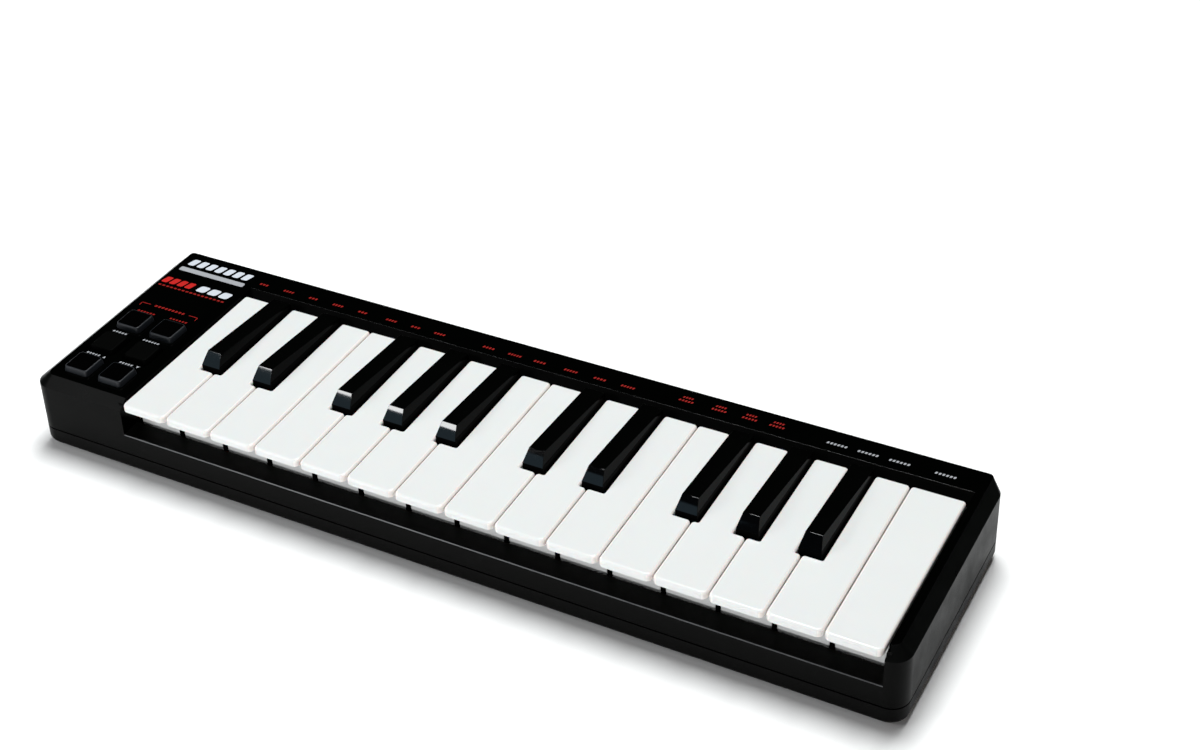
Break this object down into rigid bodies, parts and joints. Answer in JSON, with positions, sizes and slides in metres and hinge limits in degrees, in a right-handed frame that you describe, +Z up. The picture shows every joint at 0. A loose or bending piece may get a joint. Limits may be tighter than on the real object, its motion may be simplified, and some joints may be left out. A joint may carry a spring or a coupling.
{
  "type": "midi keyboard",
  "caption": "Slim black keyboard controller with sprung hinged white and black mini keys and a block of push buttons, for playing notes into a computer",
  "frame": {"origin": "middle of the footprint, on the surface that the feet stand on", "axes": "+X to the player's right along the keys, +Y away from the player, +Z up"},
  "size_m": [0.34, 0.096, 0.037],
  "materials": {
    "case_black": "gloss black top over finely textured side walls",
    "base_black": "fine matte texture",
    "key_white": "semi-gloss white",
    "key_black": "high gloss black",
    "button_lit": "translucent smoke grey rim round a black face",
    "button_plain": "soft matte black",
    "chassis": "matte dark grey",
    "steel": "bright drawn rod",
    "screw_steel": "dark zinc plated",
    "felt": "black felt",
    "board": "green solder resist on laminate",
    "silicone": "pale grey silicone",
    "membrane": "dark silicone",
    "cable": "grey flat cable",
    "socket": "plated steel shell",
    "foot_rubber": "matte black rubber"
  },
  "bodies": {
    "case": {"top_case": "case_black", "bottom_case": "base_black", "key_frame": "chassis", "pivot_rod": "steel", "down_stop_felt": "felt", "up_stop_felt": "felt", "key_contact_board": "board", "contact_strip_left": "silicone", "contact_strip_right": "silicone", "control_board": "board", "button_membrane": "membrane", "ribbon_cable": "cable", "cable_socket": "socket", "case_screw_1": "screw_steel", "case_screw_2": "screw_steel", "case_screw_3": "screw_steel", "case_screw_4": "screw_steel", "case_screw_5": "screw_steel", "case_screw_6": "screw_steel", "frame_screw_1": "screw_steel", "frame_screw_2": "screw_steel", "frame_screw_3": "screw_steel", "frame_screw_4": "screw_steel", "board_screw_1": "screw_steel", "board_screw_2": "screw_steel", "foot_1": "foot_rubber", "foot_2": "foot_rubber", "foot_3": "foot_rubber", "foot_4": "foot_rubber"},
    "white_note_01": {"white_key_01": "key_white"},
    "white_note_02": {"white_key_02": "key_white"},
    "white_note_03": {"white_key_03": "key_white"},
    "white_note_04": {"white_key_04": "key_white"},
    "white_note_05": {"white_key_05": "key_white"},
    "white_note_06": {"white_key_06": "key_white"},
    "white_note_07": {"white_key_07": "key_white"},
    "white_note_08": {"white_key_08": "key_white"},
    "white_note_09": {"white_key_09": "key_white"},
    "white_note_10": {"white_key_10": "key_white"},
    "white_note_11": {"white_key_11": "key_white"},
    "white_note_12": {"white_key_12": "key_white"},
    "white_note_13": {"white_key_13": "key_white"},
    "white_note_14": {"white_key_14": "key_white"},
    "white_note_15": {"white_key_15": "key_white"},
    "black_note_01": {"black_key_01": "key_black"},
    "black_note_02": {"black_key_02": "key_black"},
    "black_note_03": {"black_key_03": "key_black"},
    "black_note_04": {"black_key_04": "key_black"},
    "black_note_05": {"black_key_05": "key_black"},
    "black_note_06": {"black_key_06": "key_black"},
    "black_note_07": {"black_key_07": "key_black"},
    "black_note_08": {"black_key_08": "key_black"},
    "black_note_09": {"black_key_09": "key_black"},
    "black_note_10": {"black_key_10": "key_black"},
    "push_upper_left": {"button_upper_left": "button_lit"},
    "push_upper_right": {"button_upper_right": "button_lit"},
    "push_middle_left": {"button_middle_left": "button_plain"},
    "push_middle_right": {"button_middle_right": "button_plain"},
    "push_lower_left": {"button_lower_left": "button_lit"},
    "push_lower_right": {"button_lower_right": "button_lit"}
  },
  "joints": [
    {"name": "white_key_01_hinge", "type": "hinge", "parent": "case", "child": "white_note_01", "pos_m": [0, 0.0365, 0.022], "axis": [1, 0, 0], "range_deg": [0, 2.4], "stiffness_Nm_per_rad": 0.6, "springref_deg": -5.73},
    {"name": "white_key_02_hinge", "type": "hinge", "parent": "case", "child": "white_note_02", "pos_m": [0, 0.0365, 0.022], "axis": [1, 0, 0], "range_deg": [0, 2.4], "stiffness_Nm_per_rad": 0.6, "springref_deg": -5.73},
    {"name": "white_key_03_hinge", "type": "hinge", "parent": "case", "child": "white_note_03", "pos_m": [0, 0.0365, 0.022], "axis": [1, 0, 0], "range_deg": [0, 2.4], "stiffness_Nm_per_rad": 0.6, "springref_deg": -5.73},
    {"name": "white_key_04_hinge", "type": "hinge", "parent": "case", "child": "white_note_04", "pos_m": [0, 0.0365, 0.022], "axis": [1, 0, 0], "range_deg": [0, 2.4], "stiffness_Nm_per_rad": 0.6, "springref_deg": -5.73},
    {"name": "white_key_05_hinge", "type": "hinge", "parent": "case", "child": "white_note_05", "pos_m": [0, 0.0365, 0.022], "axis": [1, 0, 0], "range_deg": [0, 2.4], "stiffness_Nm_per_rad": 0.6, "springref_deg": -5.73},
    {"name": "white_key_06_hinge", "type": "hinge", "parent": "case", "child": "white_note_06", "pos_m": [0, 0.0365, 0.022], "axis": [1, 0, 0], "range_deg": [0, 2.4], "stiffness_Nm_per_rad": 0.6, "springref_deg": -5.73},
    {"name": "white_key_07_hinge", "type": "hinge", "parent": "case", "child": "white_note_07", "pos_m": [0, 0.0365, 0.022], "axis": [1, 0, 0], "range_deg": [0, 2.4], "stiffness_Nm_per_rad": 0.6, "springref_deg": -5.73},
    {"name": "white_key_08_hinge", "type": "hinge", "parent": "case", "child": "white_note_08", "pos_m": [0, 0.0365, 0.022], "axis": [1, 0, 0], "range_deg": [0, 2.4], "stiffness_Nm_per_rad": 0.6, "springref_deg": -5.73},
    {"name": "white_key_09_hinge", "type": "hinge", "parent": "case", "child": "white_note_09", "pos_m": [0, 0.0365, 0.022], "axis": [1, 0, 0], "range_deg": [0, 2.4], "stiffness_Nm_per_rad": 0.6, "springref_deg": -5.73},
    {"name": "white_key_10_hinge", "type": "hinge", "parent": "case", "child": "white_note_10", "pos_m": [0, 0.0365, 0.022], "axis": [1, 0, 0], "range_deg": [0, 2.4], "stiffness_Nm_per_rad": 0.6, "springref_deg": -5.73},
    {"name": "white_key_11_hinge", "type": "hinge", "parent": "case", "child": "white_note_11", "pos_m": [0, 0.0365, 0.022], "axis": [1, 0, 0], "range_deg": [0, 2.4], "stiffness_Nm_per_rad": 0.6, "springref_deg": -5.73},
    {"name": "white_key_12_hinge", "type": "hinge", "parent": "case", "child": "white_note_12", "pos_m": [0, 0.0365, 0.022], "axis": [1, 0, 0], "range_deg": [0, 2.4], "stiffness_Nm_per_rad": 0.6, "springref_deg": -5.73},
    {"name": "white_key_13_hinge", "type": "hinge", "parent": "case", "child": "white_note_13", "pos_m": [0, 0.0365, 0.022], "axis": [1, 0, 0], "range_deg": [0, 2.4], "stiffness_Nm_per_rad": 0.6, "springref_deg": -5.73},
    {"name": "white_key_14_hinge", "type": "hinge", "parent": "case", "child": "white_note_14", "pos_m": [0, 0.0365, 0.022], "axis": [1, 0, 0], "range_deg": [0, 2.4], "stiffness_Nm_per_rad": 0.6, "springref_deg": -5.73},
    {"name": "white_key_15_hinge", "type": "hinge", "parent": "case", "child": "white_note_15", "pos_m": [0, 0.0365, 0.022], "axis": [1, 0, 0], "range_deg": [0, 2.4], "stiffness_Nm_per_rad": 0.6, "springref_deg": -5.73},
    {"name": "black_key_01_hinge", "type": "hinge", "parent": "case", "child": "black_note_01", "pos_m": [0, 0.0365, 0.022], "axis": [1, 0, 0], "range_deg": [0, 2.6], "stiffness_Nm_per_rad": 0.6, "springref_deg": -5.73},
    {"name": "black_key_02_hinge", "type": "hinge", "parent": "case", "child": "black_note_02", "pos_m": [0, 0.0365, 0.022], "axis": [1, 0, 0], "range_deg": [0, 2.6], "stiffness_Nm_per_rad": 0.6, "springref_deg": -5.73},
    {"name": "black_key_03_hinge", "type": "hinge", "parent": "case", "child": "black_note_03", "pos_m": [0, 0.0365, 0.022], "axis": [1, 0, 0], "range_deg": [0, 2.6], "stiffness_Nm_per_rad": 0.6, "springref_deg": -5.73},
    {"name": "black_key_04_hinge", "type": "hinge", "parent": "case", "child": "black_note_04", "pos_m": [0, 0.0365, 0.022], "axis": [1, 0, 0], "range_deg": [0, 2.6], "stiffness_Nm_per_rad": 0.6, "springref_deg": -5.73},
    {"name": "black_key_05_hinge", "type": "hinge", "parent": "case", "child": "black_note_05", "pos_m": [0, 0.0365, 0.022], "axis": [1, 0, 0], "range_deg": [0, 2.6], "stiffness_Nm_per_rad": 0.6, "springref_deg": -5.73},
    {"name": "black_key_06_hinge", "type": "hinge", "parent": "case", "child": "black_note_06", "pos_m": [0, 0.0365, 0.022], "axis": [1, 0, 0], "range_deg": [0, 2.6], "stiffness_Nm_per_rad": 0.6, "springref_deg": -5.73},
    {"name": "black_key_07_hinge", "type": "hinge", "parent": "case", "child": "black_note_07", "pos_m": [0, 0.0365, 0.022], "axis": [1, 0, 0], "range_deg": [0, 2.6], "stiffness_Nm_per_rad": 0.6, "springref_deg": -5.73},
    {"name": "black_key_08_hinge", "type": "hinge", "parent": "case", "child": "black_note_08", "pos_m": [0, 0.0365, 0.022], "axis": [1, 0, 0], "range_deg": [0, 2.6], "stiffness_Nm_per_rad": 0.6, "springref_deg": -5.73},
    {"name": "black_key_09_hinge", "type": "hinge", "parent": "case", "child": "black_note_09", "pos_m": [0, 0.0365, 0.022], "axis": [1, 0, 0], "range_deg": [0, 2.6], "stiffness_Nm_per_rad": 0.6, "springref_deg": -5.73},
    {"name": "black_key_10_hinge", "type": "hinge", "parent": "case", "child": "black_note_10", "pos_m": [0, 0.0365, 0.022], "axis": [1, 0, 0], "range_deg": [0, 2.6], "stiffness_Nm_per_rad": 0.6, "springref_deg": -5.73},
    {"name": "button_upper_left_slide", "type": "slide", "parent": "case", "child": "push_upper_left", "axis": [0, 0, -1], "range_m": [0, 0.001], "stiffness_N_per_m": 300, "springref_m": -0.002},
    {"name": "button_upper_right_slide", "type": "slide", "parent": "case", "child": "push_upper_right", "axis": [0, 0, -1], "range_m": [0, 0.001], "stiffness_N_per_m": 300, "springref_m": -0.002},
    {"name": "button_middle_left_slide", "type": "slide", "parent": "case", "child": "push_middle_left", "axis": [0, 0, -1], "range_m": [0, 0.001], "stiffness_N_per_m": 300, "springref_m": -0.002},
    {"name": "button_middle_right_slide", "type": "slide", "parent": "case", "child": "push_middle_right", "axis": [0, 0, -1], "range_m": [0, 0.001], "stiffness_N_per_m": 300, "springref_m": -0.002},
    {"name": "button_lower_left_slide", "type": "slide", "parent": "case", "child": "push_lower_left", "axis": [0, 0, -1], "range_m": [0, 0.001], "stiffness_N_per_m": 300, "springref_m": -0.002},
    {"name": "button_lower_right_slide", "type": "slide", "parent": "case", "child": "push_lower_right", "axis": [0, 0, -1], "range_m": [0, 0.001], "stiffness_N_per_m": 300, "springref_m": -0.002}
  ]
}
